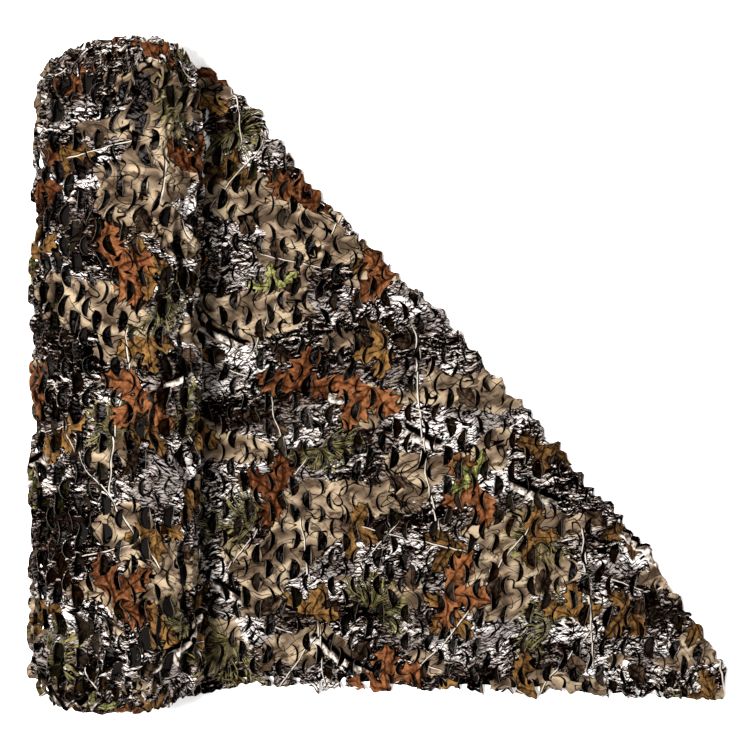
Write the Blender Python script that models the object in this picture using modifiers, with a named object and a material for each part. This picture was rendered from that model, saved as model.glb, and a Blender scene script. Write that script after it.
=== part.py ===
"""A camouflage net, part unrolled. The bulk roll lies on the floor, and its loose end is drawn
out flat beside it and turned under along a slant, so that a triangle of net shows.

Metres, +Z up. The origin is the middle of the flat spot that the roll rests on. +X runs from the
roll to the tip of the loose end, and +Y along the roll's axis.
"""

import math

import bmesh
import bpy
from mathutils import Vector, noise
from mathutils.geometry import delaunay_2d_cdt

# The roll
ROLL_LENGTH = 1.560
ROLL_HALF_WIDTH = 0.197
ROLL_HALF_HEIGHT = 0.187
ROLL_SINK = 0.005  # how far its own weight flattens it underneath
ROLL_SIDES = 56
ROLL_RINGS = 38  # along its length, between the shoulders
SHOULDER_LENGTH = 0.075  # the ends round off over this length
SHOULDER_DROP = 0.045
SHOULDER_STEPS = 4
END_RINGS = 12
TURN_PITCH = 0.052  # from one ridge of the wound turns to the next, on the end faces
TURN_RELIEF = 0.008
SPIRAL_EYE = 0.15  # the spiral fades inside this share of the radius
END_BULGE = 0.018
LOBE_RELIEF = 0.008
LUMP_RELIEF = 0.006
LUMP_SIZE = 0.26
RELIEF_ANGLES = (0.75, 1.35)  # from underneath; the roll is smooth where it presses on the floor
RELIEF_RADII = (0.80, 0.97)  # as shares of its radius; the lobes show on its side only

# The net's cut: rows of crescent slits that face right and left by turns
SLIT_PITCH_X = 0.060
SLIT_PITCH_Y = 0.070
PITCH_TIMES = 2  # the solid is cut at twice the net's own pitch
GAP_CHORD = 0.074
GAP_BULGE = 0.028
GAP_WIDTH = 0.015
GAP_MARGIN = 0.022  # clear cloth between a gap and an edge or the fold
TONGUE_BULGE = GAP_BULGE - GAP_WIDTH  # the inner arc, which is the tongue's own rounded end
# A gap's corners: the arc's bulge, the place along the chord, the share of the tongue's lift
CRESCENT = (
    (GAP_BULGE, -1.00, 0.00),
    (GAP_BULGE, -0.55, 0.00),
    (GAP_BULGE, 0.00, 0.00),
    (GAP_BULGE, 0.55, 0.00),
    (TONGUE_BULGE, 1.00, 0.00),
    (TONGUE_BULGE, 0.50, 0.75),
    (TONGUE_BULGE, 0.00, 1.00),
    (TONGUE_BULGE, -0.50, 0.75),
)
TONGUE_LIFT = 0.011  # a tongue's tip curls up this far from the cloth

# The loose end, seen from above
SHEET_THICKNESS = 0.003
CLEARANCE = 0.0003  # between the cloth's root and the roll over it
NET_HALF_WIDTH = 0.765
SKEW = -0.040  # the cloth lies a little askew to the roll
TIP_X = 1.500
FOLD_START = Vector((0.205, 0.757))
FOLD_END = Vector((1.500, -0.727))
FOLD_BOW = 0.042  # how far the folded edge bows out, most near its lower end
FOLD_BOW_LEAN = 1.5
FOLD_BOW_REACH = 0.45
FOLD_RADIUS = 0.009
FOLD_HALF_ARC = FOLD_RADIUS * math.pi / 2.0
FOLD_TAKE_UP = FOLD_HALF_ARC - FOLD_RADIUS  # each layer's cloth that the round of the fold uses
FOLD_STEPS = 5
TUCK_X = 0.100  # the turned-under flap stops here, in the wedge beside the roll
UPPER_RISE = (0.080, 0.170)  # the top layer climbs over the flap between these, beside the roll
OFF_ROLL = (0.080, 0.220)  # the waves, the tongues' lift and the fold's bow grow between these
DRAPE_LENGTH = 0.080  # over which the cloth comes down to the floor past the flap's edge
DRAPE_START = 0.020
WAVE_HEIGHT = 0.005
WAVE_SIZE = 0.30
WAVE_SEED = 4.0
WAVE_FADE = 0.060  # the waves and the tongues' lift fade out this near the fold
EDGE_STEP = 0.075

KEEP_INSIDE = 1  # the triangulation keeps what lies inside the outlines
CDT_EPSILON = 1e-5

PRINT_COLOUR = (0.105, 0.085, 0.066, 1.0)
CLOTH_ROUGHNESS = 0.85


def clear_scene():
    for item in list(bpy.data.objects):
        bpy.data.objects.remove(item, do_unlink=True)


def cloth_material(name):
    """Printed woven polyester, as one colour: the print's mean."""
    material = bpy.data.materials.new(name)
    material.use_nodes = True
    shader = material.node_tree.nodes["Principled BSDF"]
    shader.inputs["Base Color"].default_value = PRINT_COLOUR
    shader.inputs["Roughness"].default_value = CLOTH_ROUGHNESS
    shader.inputs["Metallic"].default_value = 0.0
    return material


def smoothstep(low, high, value):
    t = min(1.0, max(0.0, (value - low) / (high - low)))
    return t * t * (3.0 - 2.0 * t)


def wave(x, y, size, seed):
    """Smooth noise from about -1 to 1."""
    return noise.noise(Vector((x / size, y / size, seed)))


# ---------------------------------------------------------------- the roll


def end_height(radius_share):
    """How far an end face stands past the end of the shoulder, from the rim (1) to the axis (0)."""
    return END_BULGE * (1.0 - radius_share**2)


def roll_profile():
    """Half of the roll's section along its axis, as (radius, height) with a radius of 1 at its side.

    It runs from the middle of the top end down the outside to the middle of the bottom end.
    """
    straight = ROLL_LENGTH / 2.0 - SHOULDER_LENGTH
    rim = 1.0 - SHOULDER_DROP / ROLL_HALF_WIDTH
    upper = []
    for ring in range(END_RINGS):
        share = ring / END_RINGS
        upper.append((rim * share, ROLL_LENGTH / 2.0 + end_height(share)))
    for step in range(SHOULDER_STEPS):
        turn = math.pi / 2.0 * step / SHOULDER_STEPS
        radius = rim + (1.0 - rim) * math.sin(turn)
        upper.append((radius, straight + SHOULDER_LENGTH * math.cos(turn)))
    sides = []
    for ring in range(ROLL_RINGS + 1):
        sides.append((1.0, straight - 2.0 * straight * ring / ROLL_RINGS))
    lower = [(radius, -height) for radius, height in reversed(upper)]
    return upper + sides + lower


def lobe_relief(around, along):
    """The net's lobes, standing off the roll like scales in staggered rows."""
    pitch_x = SLIT_PITCH_X * PITCH_TIMES
    pitch_y = SLIT_PITCH_Y * PITCH_TIMES
    row = math.cos(2.0 * math.pi * along / pitch_y)
    across = math.cos(2.0 * math.pi * around / pitch_x)
    return 0.5 + 0.5 * row * across


def end_relief(along, radius_share, angle):
    """The ridges that the wound turns make on the end faces: one spiral, fading at the shoulder."""
    turns = radius_share * ROLL_HALF_WIDTH / TURN_PITCH - angle / (2.0 * math.pi)
    ridge = 0.5 + 0.5 * math.cos(2.0 * math.pi * turns)
    off_axis = smoothstep(0.0, SPIRAL_EYE, radius_share)
    on_end = smoothstep(ROLL_LENGTH / 2.0 - SHOULDER_LENGTH, ROLL_LENGTH / 2.0, abs(along))
    return math.copysign(TURN_RELIEF * ridge * off_axis * on_end, along)


def section_point(share, angle):
    """A point of the sagging section: share of the radius, angle from underneath, as (x, z)."""
    x = ROLL_HALF_WIDTH * share * math.sin(angle)
    z = ROLL_HALF_HEIGHT * (1.0 - share * math.cos(angle)) - ROLL_SINK
    return x, max(0.0, z)


def wound_shape(point):
    """Carries a point of the plain turned roll to the lumpy, sagging one that lies on the floor."""
    radius_share = math.hypot(point.x, point.z) / ROLL_HALF_WIDTH
    angle = math.atan2(point.x, -point.z)  # 0 underneath, positive on the loose end's side
    around = angle * ROLL_HALF_WIDTH
    above_floor = smoothstep(*RELIEF_ANGLES, abs(angle))
    side = smoothstep(*RELIEF_RADII, radius_share)
    lift = LOBE_RELIEF * lobe_relief(around, point.y)
    lift += LUMP_RELIEF * noise.noise(Vector((point.x, point.y, point.z)) / LUMP_SIZE)
    share = radius_share + above_floor * side * lift / ROLL_HALF_WIDTH
    x, z = section_point(share, angle)
    return Vector((x, point.y + end_relief(point.y, radius_share, angle), z))


def make_roll(collection):
    """The wound net: a profile turned about the roll's axis, then sagged and given its lobes."""
    points = roll_profile()
    outline = bpy.data.meshes.new("roll_profile")
    corners = [(radius * ROLL_HALF_WIDTH, 0.0, height) for radius, height in points]
    steps = [(i, i + 1) for i in range(len(corners) - 1)]
    outline.from_pydata(corners, steps, [])
    guide = bpy.data.objects.new("roll_guide", outline)
    collection.objects.link(guide)
    screw = guide.modifiers.new("turn", "SCREW")
    screw.steps = screw.render_steps = ROLL_SIDES
    screw.use_merge_vertices = True
    screw.merge_threshold = 0.0001

    bpy.context.view_layer.update()
    graph = bpy.context.evaluated_depsgraph_get()
    mesh = bpy.data.meshes.new_from_object(guide.evaluated_get(graph))
    bpy.data.objects.remove(guide, do_unlink=True)

    for vertex in mesh.vertices:
        turned = vertex.co
        lying = Vector((turned.x, turned.z, -turned.y))  # the turning axis, laid along +Y
        vertex.co = wound_shape(lying)
    roll = bpy.data.objects.new("net_roll", mesh)
    collection.objects.link(roll)
    mesh.materials.append(cloth_material("printed_net_wound"))
    mesh.shade_smooth()
    return roll


def roll_underside_x(height):
    """How far from the roll's middle the flats of its underside have risen to this height."""
    quarter = [section_point(1.0, 2.0 * math.pi * i / ROLL_SIDES) for i in range(ROLL_SIDES // 4)]
    for (x0, z0), (x1, z1) in zip(quarter, quarter[1:]):
        if z0 <= height < z1:
            return x0 + (x1 - x0) * (height - z0) / (z1 - z0)
    return ROLL_HALF_WIDTH


# ---------------------------------------------------------------- the loose end

ROOT_X = roll_underside_x(SHEET_THICKNESS + CLEARANCE)
FOLD_ALONG = (FOLD_END - FOLD_START).normalized()
FOLD_LENGTH = (FOLD_END - FOLD_START).length
FOLD_INWARD = Vector((FOLD_ALONG.y, -FOLD_ALONG.x))  # from the fold towards the roll


def skewed(x, y):
    """A point of the cloth, square to its own edges, where it lies on the floor."""
    return Vector((x, y + SKEW * (x - ROOT_X)))


def across_fold(point):
    """The distance from the fold line, positive on the side that stays on top."""
    return (point - FOLD_START).dot(FOLD_INWARD)


def mirrored(point):
    """The point's place once the cloth past the fold has been turned under."""
    return point - 2.0 * across_fold(point) * FOLD_INWARD


def meeting(a, b, c, d):
    """Where the line through a and b meets the line through c and d."""
    along, other = b - a, d - c
    share = (c - a).cross(other) / along.cross(other)
    return a + share * along


def sheet_outline():
    """The loose end before it is folded: its corners, going round."""
    top_far = skewed(TIP_X, NET_HALF_WIDTH)
    free_bottom = skewed(TIP_X, -NET_HALF_WIDTH)
    root_top = skewed(ROOT_X, NET_HALF_WIDTH)
    tuck = (mirrored(Vector((TUCK_X, 0.0))), mirrored(Vector((TUCK_X, 1.0))))
    return [
        skewed(ROOT_X, -NET_HALF_WIDTH),
        free_bottom,
        meeting(free_bottom, top_far, *tuck),
        meeting(root_top, top_far, *tuck),
        root_top,
    ]


def distance_inside(point, outline):
    """The least distance to the outline's sides, positive inside. The outline is convex."""
    least = math.inf
    for start, end in zip(outline, outline[1:] + outline[:1]):
        side = (end - start).normalized()
        least = min(least, side.cross(point - start))
    return least


def crescent(centre, facing):
    """One open slit: two arcs that share their tips. facing is 1 for a gap like ) and -1 for (.

    Returns its points going round, and for each the share of the tongue's lift that it takes.
    """
    points = []
    for bulge, place, lift in CRESCENT:
        shape = Vector((bulge * (1.0 - place * place), place * GAP_CHORD / 2.0))
        points.append(centre + facing * shape)
    return points, [lift for _, _, lift in CRESCENT]


def gap_rows():
    """The middle and the facing of every gap, in staggered rows over the whole cloth."""
    pitch_x = SLIT_PITCH_X * PITCH_TIMES
    row_step = SLIT_PITCH_Y * PITCH_TIMES / 2.0
    rows = int(NET_HALF_WIDTH / row_step)
    columns = int(TIP_X / pitch_x) + 1
    for row in range(-rows, rows + 1):
        facing = 1 if row % 2 == 0 else -1
        for column in range(columns):
            x = ROOT_X + pitch_x * (column + (0.5 if facing > 0 else 1.0))
            yield skewed(x, row * row_step), facing


def fits(points, outline):
    """True if a gap is clear of the cloth's edges and of the fold."""
    clear_of_fold = GAP_MARGIN + FOLD_HALF_ARC
    distances = [across_fold(point) for point in points]
    one_side = min(distances) > clear_of_fold or max(distances) < -clear_of_fold
    return one_side and min(distance_inside(p, outline) for p in points) > GAP_MARGIN


def stepped(start, end, longest):
    """Points from start to end, without the end, no further apart than longest."""
    count = max(1, math.ceil((end - start).length / longest))
    return [start.lerp(end, i / count) for i in range(count)]


def fold_rows(outline):
    """Straight rows of the mesh along the fold, so that the cloth can turn round it."""
    rows = []
    for step in range(FOLD_STEPS + 1):
        shift = FOLD_INWARD * FOLD_HALF_ARC * (1.0 - 2.0 * step / FOLD_STEPS)
        start, end = FOLD_START + shift, FOLD_END + shift
        top = meeting(start, end, outline[3], outline[4])
        free = meeting(start, end, outline[1], outline[2])
        rows.append([*stepped(top, free, EDGE_STEP), free])
    return rows


def flat_net():
    """The flat loose end with its gaps: points, triangles, and the points that are tongue tips."""
    outline = sheet_outline()
    points, edges = [], []
    for start, end in zip(outline, outline[1:] + outline[:1]):
        points += stepped(start, end, EDGE_STEP)
    edges += [(i, (i + 1) % len(points)) for i in range(len(points))]
    faces = [list(range(len(points)))]
    tips = {}
    for centre, facing in gap_rows():
        gap, gap_lifts = crescent(centre, facing)
        if not fits(gap, outline):
            continue
        first = len(points)
        points += gap
        edges += [(first + i, first + (i + 1) % len(gap)) for i in range(len(gap))]
        faces.append(list(range(first, first + len(gap))))
        tips.update({first + i: lift for i, lift in enumerate(gap_lifts)})
    for row in fold_rows(outline):
        first = len(points)
        points += row
        edges += [(first + i, first + i + 1) for i in range(len(row) - 1)]
    made = delaunay_2d_cdt(points, edges, faces, KEEP_INSIDE, CDT_EPSILON)
    flat, _, triangles, sources, _, face_sources = made
    kept = [face for face, inside in zip(triangles, face_sources) if inside == [0]]
    lifts = [max([tips.get(i, 0.0) for i in source], default=0.0) for source in sources]
    return flat, kept, lifts


def bow(place, along):
    """The folded edge isn't quite straight: it bows away from the roll near its lower end."""
    share = min(1.0, max(0.0, along / FOLD_LENGTH))
    most = math.sin(math.pi * share**FOLD_BOW_LEAN)
    fade = smoothstep(FOLD_BOW_REACH, 0.0, across_fold(place)) * smoothstep(*OFF_ROLL, place.x)
    return -FOLD_INWARD * FOLD_BOW * most * fade


def flap_outline():
    """The part that is turned under, as it lies below, going round."""
    outline = sheet_outline()
    top = meeting(FOLD_START, FOLD_END, outline[3], outline[4])
    free = meeting(FOLD_START, FOLD_END, outline[1], outline[2])
    return [top, mirrored(outline[3]), mirrored(outline[2]), free]


def upper_height(point, flap):
    """The height of the cloth's middle where it lies on top, over the flap or over the floor."""
    low, high = SHEET_THICKNESS / 2.0, SHEET_THICKNESS / 2.0 + 2.0 * FOLD_RADIUS
    over_flap = smoothstep(-DRAPE_START - DRAPE_LENGTH, -DRAPE_START, distance_inside(point, flap))
    clear_of_roll = smoothstep(*UPPER_RISE, point.x)
    return low + (high - low) * over_flap * clear_of_roll


def laid(point, lift, flap):
    """Carries a point of the flat cloth to its place, on top or turned under."""
    across = across_fold(point)
    along = (point - FOLD_START).dot(FOLD_ALONG)
    turn = max(-math.pi / 2.0, min(math.pi / 2.0, across / FOLD_RADIUS))
    past_arc = max(0.0, abs(across) - FOLD_HALF_ARC)
    inward = FOLD_TAKE_UP + FOLD_RADIUS * (1.0 - math.cos(turn)) + past_arc
    place = FOLD_START + FOLD_ALONG * along + FOLD_INWARD * inward
    height = SHEET_THICKNESS / 2.0 + FOLD_RADIUS * (1.0 + math.sin(turn))
    if across > FOLD_HALF_ARC:
        off_fold = smoothstep(FOLD_HALF_ARC, FOLD_HALF_ARC + WAVE_FADE, across)
        off_roll = smoothstep(*OFF_ROLL, place.x)
        swell = 0.5 + 0.5 * wave(place.x, place.y, WAVE_SIZE, WAVE_SEED)
        height = upper_height(place, flap)
        height += off_fold * off_roll * (WAVE_HEIGHT * swell + TONGUE_LIFT * lift)
    place = place + bow(place, along)
    return Vector((place.x, place.y, height))


def make_loose_end(collection):
    """The cloth drawn off the roll: cut flat, laid out and folded, then given its thickness."""
    flat, triangles, lifts = flat_net()
    flap = flap_outline()
    shape = bmesh.new()
    made = [shape.verts.new(laid(point, lift, flap)) for point, lift in zip(flat, lifts)]
    for corners in triangles:
        shape.faces.new([made[i] for i in corners])
    unused = [vertex for vertex in shape.verts if not vertex.link_faces]
    bmesh.ops.delete(shape, geom=unused, context="VERTS")
    mesh = bpy.data.meshes.new("loose_end")
    shape.to_mesh(mesh)
    shape.free()
    sheet = bpy.data.objects.new("loose_end", mesh)
    collection.objects.link(sheet)
    mesh.materials.append(cloth_material("printed_net_loose"))
    thicken = sheet.modifiers.new("thickness", "SOLIDIFY")
    thicken.thickness = SHEET_THICKNESS
    thicken.offset = 0.0
    return sheet


def main():
    clear_scene()
    collection = bpy.data.collections.new("camouflage_net_roll")
    bpy.context.scene.collection.children.link(collection)
    make_roll(collection)
    make_loose_end(collection)


main()
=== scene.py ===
import functools
import math

import bmesh
import bpy
import numpy as np
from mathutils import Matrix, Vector
from mathutils.geometry import delaunay_2d_cdt


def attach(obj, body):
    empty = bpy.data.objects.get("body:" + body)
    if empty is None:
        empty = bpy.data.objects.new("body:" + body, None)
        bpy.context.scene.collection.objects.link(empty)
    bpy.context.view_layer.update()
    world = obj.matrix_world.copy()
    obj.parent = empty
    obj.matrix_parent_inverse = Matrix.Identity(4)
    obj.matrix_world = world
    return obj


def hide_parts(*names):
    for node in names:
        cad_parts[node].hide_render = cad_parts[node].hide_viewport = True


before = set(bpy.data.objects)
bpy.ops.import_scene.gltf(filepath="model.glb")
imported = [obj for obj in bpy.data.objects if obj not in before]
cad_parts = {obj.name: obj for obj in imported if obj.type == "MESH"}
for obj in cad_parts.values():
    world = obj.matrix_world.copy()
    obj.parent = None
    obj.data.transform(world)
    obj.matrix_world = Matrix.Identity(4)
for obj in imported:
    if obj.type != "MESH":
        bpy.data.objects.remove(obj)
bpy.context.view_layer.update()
millimetre = 0.001


# the net's cut

netCut = {
    "alongPitch": 0.0610,  # from one tongue to the next in its row
    "rowPitch": 0.0350,  # the rows face right and left by turns
    "backToBack": 0.0130,  # from the tips of one row to those of the next
    "depth": 0.0240,  # a tongue, from its hinge to its tip
    "halfWidth": 0.0265,
    "depthRange": (0.90, 1.08),  # from tongue to tongue
    "halfRange": (0.92, 1.05),
    "hingeJitter": 0.0008,
    "middleJitter": 0.0018,
    "hingeGap": 0.0012,  # the hinges of the two kinds of row stand this far off their common line
    "arcSteps": 12,
    "innerRings": (0.74, 0.42),  # mesh points inside a tongue, as shares of its size
    "ringEnd": 1.25,  # in radians from its middle line
    "webStep": 0.0095,  # between the mesh points in the cloth around the tongues
    "slitMargin": 1.18,  # which stay out of this many times a tongue's size, and this far off its hinge
    "hingeMargin": 0.004,
    "clothThickness": 0.0006,
    "rowsEachWay": 30,
    "columnsBack": 44,  # on the roll, and on the loose end and the roll's ends
    "columnsAhead": 150,
    "seed": 5,
}


def makeTongueTable(cut):
    # one entry for each tongue of the whole cloth, by row and column, so that pieces that meet agree
    dice = np.random.default_rng(cut["seed"])
    rows = 2 * cut["rowsEachWay"]
    columns = cut["columnsBack"] + cut["columnsAhead"]
    shape = (rows, columns)
    facing = np.where(np.arange(rows) % 2 == 0, 1.0, -1.0)[:, None] * np.ones(shape)
    row = (np.arange(rows) - cut["rowsEachWay"])[:, None] * np.ones(shape)
    column = (np.arange(columns) - cut["columnsBack"])[None, :] * np.ones(shape)
    tip = column * cut["alongPitch"] + np.where(facing > 0, 0.0, cut["backToBack"])
    hinge = tip - facing * (cut["depth"] - cut["hingeGap"])
    return {
        "facing": facing,
        "depth": cut["depth"] * dice.uniform(*cut["depthRange"], shape),
        "half": cut["halfWidth"] * dice.uniform(*cut["halfRange"], shape),
        "hinge": hinge + dice.uniform(-1, 1, shape) * cut["hingeJitter"],
        "middle": (row + 0.5) * cut["rowPitch"] + dice.uniform(-1, 1, shape) * cut["middleJitter"],
        "chance": dice.random(shape),
        "spread": dice.normal(0.0, 1.0, shape),
        "twist": dice.normal(0.0, 1.0, shape),
        "cup": dice.normal(0.0, 1.0, shape),
    }


tongues = makeTongueTable(netCut)


def tonguesNear(u, v, cut=netCut):
    # for each point, the tongues in the nine places around it, one place at a time
    rowGuess = np.round(v / cut["rowPitch"] - 0.5).astype(int) + cut["rowsEachWay"]
    for rowStep in (-1, 0, 1):
        row = np.clip(rowGuess + rowStep, 0, tongues["hinge"].shape[0] - 1)
        back = np.where(row % 2 == 0, 0.5 * cut["depth"], -cut["backToBack"] - 0.5 * cut["depth"])
        columnGuess = np.round((u + back) / cut["alongPitch"]).astype(int) + cut["columnsBack"]
        for columnStep in (-1, 0, 1):
            column = np.clip(columnGuess + columnStep, 0, tongues["hinge"].shape[1] - 1)
            yield row, column


def insideTongue(u, v, row, column):
    # p runs from the hinge to the tip and q across; reach is 1 on the slit
    p = tongues["facing"][row, column] * (u - tongues["hinge"][row, column])
    q = v - tongues["middle"][row, column]
    depth, half = tongues["depth"][row, column], tongues["half"][row, column]
    return p, q, np.sqrt((p / depth) ** 2 + (q / half) ** 2)


def tonguePoints(row, column, steps, cut=netCut):
    # the slit, the hinge, and a few points between them
    hinge, middle = tongues["hinge"][row, column], tongues["middle"][row, column]
    depth = tongues["facing"][row, column] * tongues["depth"][row, column]
    half = tongues["half"][row, column]
    turns = np.linspace(-math.pi / 2, math.pi / 2, steps + 1)
    slit = [(hinge + depth * math.cos(t), middle + half * math.sin(t)) for t in turns]
    root = [(hinge, middle + half * share) for share in np.linspace(-1, 1, steps // 2 + 1)[1:-1]]
    inner = []
    for share, count in zip(cut["innerRings"], (steps // 2 + 1, steps // 3)):
        for t in np.linspace(-cut["ringEnd"], cut["ringEnd"], count):
            inner.append((hinge + depth * share * math.cos(t), middle + half * share * math.sin(t)))
    return slit, root, inner


def boxTrims(lowU, highU, lowV, highV):
    # each trim is a point on a straight edge and the direction that is thrown away
    return [((lowU, 0.0), (-1.0, 0.0)), ((highU, 0.0), (1.0, 0.0)),
            ((0.0, highV), (0.0, 1.0)), ((0.0, lowV), (0.0, -1.0))]


def flatNet(box, trims, steps, cut=netCut):
    # cuts the tongues in a flat cloth that fills the box, then trims it to straight edges
    lowU, highU, lowV, highV = box
    margin = cut["alongPitch"]
    points, edges = [], []
    rows = range(int(lowV / cut["rowPitch"]) - 3, int(highV / cut["rowPitch"]) + 3)
    columns = range(int(lowU / cut["alongPitch"]) - 2, int(highU / cut["alongPitch"]) + 3)
    for row in rows:
        for column in columns:
            slit, root, inner = tonguePoints(row + cut["rowsEachWay"], column + cut["columnsBack"], steps)
            first = len(points)
            points += slit + root + inner
            chord = [first, *range(first + len(slit), first + len(slit) + len(root)), first + steps]
            edges += [(first + i, first + i + 1) for i in range(steps)]
            edges += list(zip(chord, chord[1:]))
    dice = np.random.default_rng(cut["seed"] + 1)
    webStep = cut["webStep"] * cut["arcSteps"] / steps
    gridU, gridV = np.meshgrid(np.arange(lowU - margin, highU + margin, webStep),
                               np.arange(lowV - margin, highV + margin, webStep))
    gridU = gridU.ravel() + dice.uniform(-0.3, 0.3, gridU.size) * webStep
    gridV = gridV.ravel() + dice.uniform(-0.3, 0.3, gridV.size) * webStep
    clear = np.ones(gridU.size, dtype=bool)
    for row, column in tonguesNear(gridU, gridV):
        p, q, reach = insideTongue(gridU, gridV, row, column)
        inTongue = (reach < cut["slitMargin"]) & (p > -cut["hingeMargin"])
        onHinge = (abs(p) < cut["hingeMargin"]) & (abs(q) < tongues["half"][row, column])
        clear &= ~(inTongue | onHinge)
    points += list(zip(gridU[clear], gridV[clear]))
    made = delaunay_2d_cdt([Vector(point) for point in points], edges, [], 0, 1e-7)
    flat = np.array([tuple(point) for point in made[0]])
    corners = np.array([face for face in made[2] if len(face) == 3])

    # each slit's points are doubled: the tongue takes one and the cloth around it keeps the other
    slitOf = np.full(len(flat), -1)
    faceOf = np.full(len(corners), -1)
    middles = flat[corners].mean(axis=1)
    width = tongues["hinge"].shape[1]
    for row, column in tonguesNear(flat[:, 0], flat[:, 1]):
        p, q, reach = insideTongue(flat[:, 0], flat[:, 1], row, column)
        found = (abs(reach - 1.0) < 1e-3) & (p > 0.02 * cut["depth"])
        slitOf[found] = (row * width + column)[found]
    for row, column in tonguesNear(middles[:, 0], middles[:, 1]):
        p, q, reach = insideTongue(middles[:, 0], middles[:, 1], row, column)
        found = (reach < 1.0) & (p > 0.0)
        faceOf[found] = (row * width + column)[found]
    doubled = np.flatnonzero(slitOf >= 0)
    double = np.arange(len(flat))
    double[doubled] = len(flat) + np.arange(len(doubled))
    swap = (slitOf[corners] >= 0) & (slitOf[corners] == faceOf[:, None])
    corners = np.where(swap, double[corners], corners)
    onTongue = np.concatenate([np.zeros(len(flat)), np.ones(len(doubled))])
    flat = np.concatenate([flat, flat[doubled]])
    return trimNet(flat, corners, onTongue, trims)


def trimNet(flat, corners, onTongue, trims):
    shape = bmesh.new()
    side = shape.verts.layers.float.new("side")
    made = []
    for (u, v), mark in zip(flat.tolist(), onTongue.tolist()):
        vertex = shape.verts.new((u, v, 0.0))
        vertex[side] = mark
        made.append(vertex)
    for a, b, c in corners.tolist():
        shape.faces.new((made[a], made[b], made[c]))
    for point, away in trims:
        everything = shape.verts[:] + shape.edges[:] + shape.faces[:]
        bmesh.ops.bisect_plane(shape, geom=everything, dist=1e-6, plane_co=(*point, 0.0),
                               plane_no=(*away, 0.0), clear_outer=True)
    bmesh.ops.triangulate(shape, faces=[face for face in shape.faces if len(face.verts) > 3])
    dropScraps(shape)
    shape.verts.index_update()
    flat = np.array([(vertex.co.x, vertex.co.y) for vertex in shape.verts])
    onTongue = np.array([vertex[side] for vertex in shape.verts]) > 0.5
    corners = np.array([[vertex.index for vertex in face.verts] for face in shape.faces])
    shape.free()
    a, b, c = flat[corners[:, 0]], flat[corners[:, 1]], flat[corners[:, 2]]
    turned = np.cross(b - a, c - a) < 0
    corners[turned] = corners[turned][:, ::-1]
    return flat, corners, onTongue


def dropScraps(shape):
    # a tongue whose hinge was trimmed away hangs on nothing, so it goes
    shape.faces.ensure_lookup_table()
    seen, largest = set(), []
    for start in shape.faces:
        if start in seen:
            continue
        seen.add(start)
        island, front = [start], [start]
        while front:
            face = front.pop()
            for edge in face.edges:
                for other in edge.link_faces:
                    if other not in seen:
                        seen.add(other)
                        island.append(other)
                        front.append(other)
        if len(island) > len(largest):
            largest = island
    scraps = set(shape.faces) - set(largest)
    bmesh.ops.delete(shape, geom=list(scraps), context="FACES")
    loose = [vertex for vertex in shape.verts if not vertex.link_faces]
    bmesh.ops.delete(shape, geom=loose, context="VERTS")


# how the cloth lies

tongueCurl = {
    # at the tip, in radians: of the tongues that point right, left, and of those that curl under
    "rightAngle": 1.08,
    "leftAngle": 1.22,
    "underAngle": -1.60,
    "angleSpread": 0.50,  # a few stand up far more than the rest
    "underShareLeft": 0.36,  # of the tongues that point left, this many curl under
    "underShareRight": 0.10,
    "upBend": 0.55,  # under 1 a tongue bends most at its hinge
    "underBend": 0.85,
    "twist": 0.30,
    "cup": 0.0045,
    "angleLimits": (-2.4, 2.5),
    "bendSteps": 8,
    "room": (-0.0165, 0.0185),  # no tongue goes further in or out than this
    "rimDip": 0.0045,  # the cloth past a raised tip sinks, and past a sunk one it rises
    "rimReach": 1.80,
    "rimOpening": 0.0030,  # the pull of the cloth draws the two sides of a slit apart
    "swell": 0.0042,
    "swellSize": 0.085,
    "creases": (0.61, 0.10, -0.13, -0.36, -0.59),  # folds left from packing, along the cloth
    "creaseDepth": 0.007,
    "creaseWidth": 0.020,
    "creaseWander": 0.012,
    "creaseWanderSize": 0.50,
}


def smoothStep(low, high, value):
    t = np.clip((value - low) / (high - low), 0.0, 1.0)
    return t * t * (3.0 - 2.0 * t)


def eased(value, least, zone):
    # from the least up to 1 as the value crosses the zone
    return least + (1.0 - least) * smoothStep(*zone, value)


def ripple(u, v, size, seed):
    # smooth unevenness from about -1 to 1
    dice = np.random.default_rng(seed)
    total = np.zeros(np.shape(u))
    for _ in range(6):
        turn, phase = dice.uniform(0.0, 2.0 * math.pi, 2)
        length = size * dice.uniform(0.75, 1.6)
        total += np.sin((u * math.cos(turn) + v * math.sin(turn)) * 2.0 * math.pi / length + phase)
    return total / 3.0


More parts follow.
